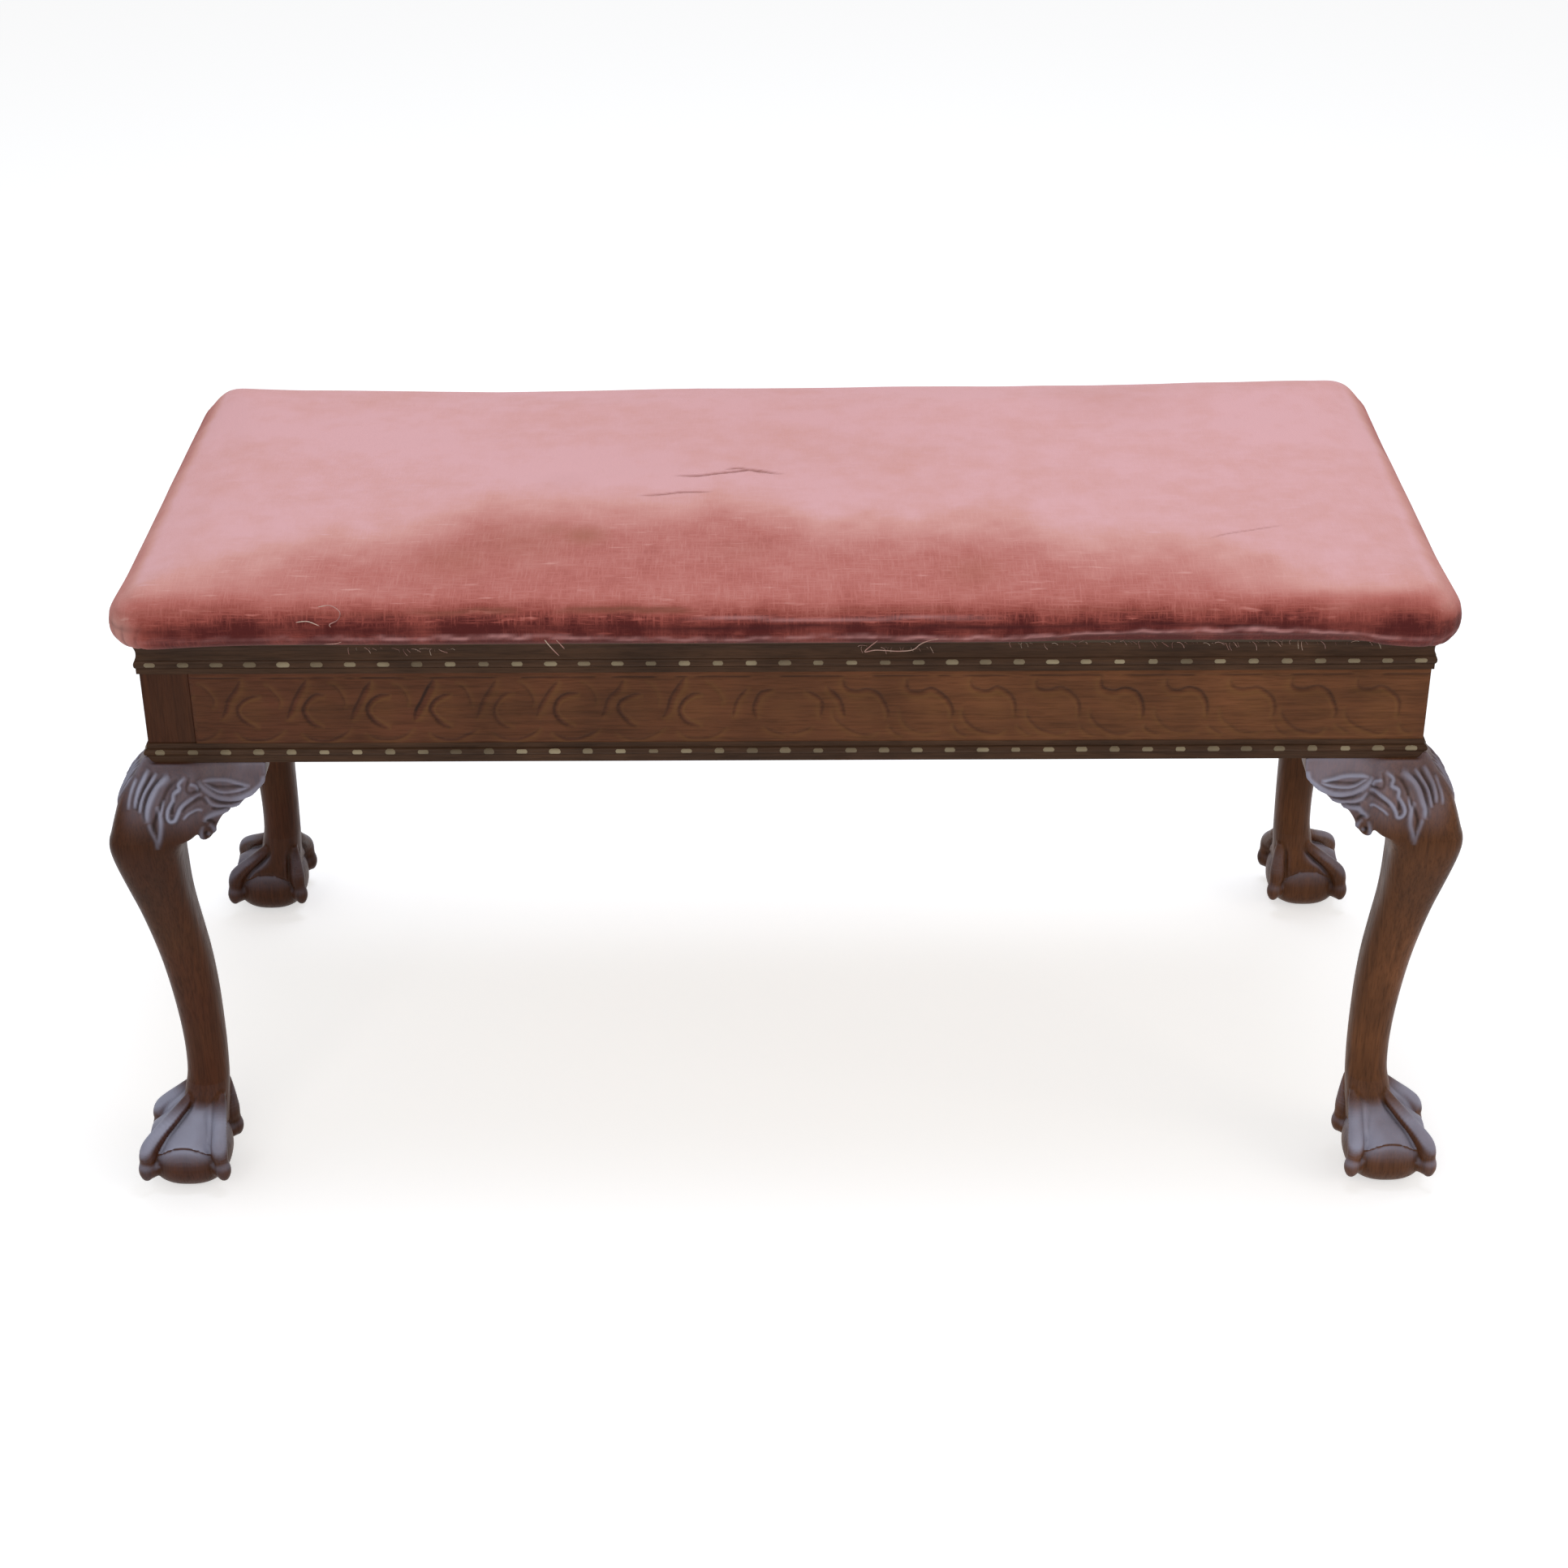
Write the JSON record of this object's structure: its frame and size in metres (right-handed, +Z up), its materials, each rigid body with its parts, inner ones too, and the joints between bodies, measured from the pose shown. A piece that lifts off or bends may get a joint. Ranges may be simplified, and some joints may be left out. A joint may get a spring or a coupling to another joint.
{
  "type": "duet piano stool",
  "caption": "Wide upholstered seat hinged over a shallow music box, on cabriole legs with ball-and-claw feet.",
  "frame": {"origin": "on the floor, under the middle of the seat", "axes": "+X along the seat to the sitter's left as seen from the front, -Y out of the carved front, +Z up"},
  "size_m": [0.9802, 0.4652, 0.491],
  "materials": {
    "carved_mahogany": "carved and wax-polished dark mahogany",
    "frieze_mahogany": "carved and polished mahogany",
    "moulding_mahogany": "polished mahogany, worn on the beads",
    "pine": "planed and left bare",
    "velvet": "faded and worn cotton velvet",
    "stuffing": "horsehair and wadding",
    "lining_cloth": "black cotton lining",
    "brass": "dulled",
    "steel": "plain"
  },
  "bodies": {
    "stool_box": {"leg_front_left": "carved_mahogany", "leg_front_right": "carved_mahogany", "leg_back_left": "carved_mahogany", "leg_back_right": "carved_mahogany", "ear_front_left": "carved_mahogany", "ear_front_right": "carved_mahogany", "ear_back_left": "carved_mahogany", "ear_back_right": "carved_mahogany", "ear_left_front": "carved_mahogany", "ear_left_back": "carved_mahogany", "ear_right_front": "carved_mahogany", "ear_right_back": "carved_mahogany", "front_rail": "frieze_mahogany", "front_cove_moulding": "moulding_mahogany", "front_base_moulding": "moulding_mahogany", "front_cleat": "pine", "back_rail": "frieze_mahogany", "back_cove_moulding": "moulding_mahogany", "back_base_moulding": "moulding_mahogany", "back_cleat": "pine", "left_rail": "frieze_mahogany", "left_cove_moulding": "moulding_mahogany", "left_base_moulding": "moulding_mahogany", "left_cleat": "pine", "right_rail": "frieze_mahogany", "right_cove_moulding": "moulding_mahogany", "right_base_moulding": "moulding_mahogany", "right_cleat": "pine", "bottom_board": "pine", "cleat_screws": "steel", "bottom_screws": "steel", "ear_screws": "steel", "hinge_box_leaves": "brass", "hinge_pins": "brass", "box_leaf_screws": "brass"},
    "lid": {"lid_board": "pine", "seat_pad": "stuffing", "velvet_cover": "velvet", "lid_lining": "lining_cloth", "lining_tacks": "steel", "hinge_lid_leaves": "brass", "lid_leaf_screws": "brass"}
  },
  "joints": [
    {"name": "lid_hinge", "type": "hinge", "parent": "stool_box", "child": "lid", "pos_m": [0, 0.1979, 0.45085], "axis": [-1, 0, 0], "range_deg": [0, 100]}
  ]
}
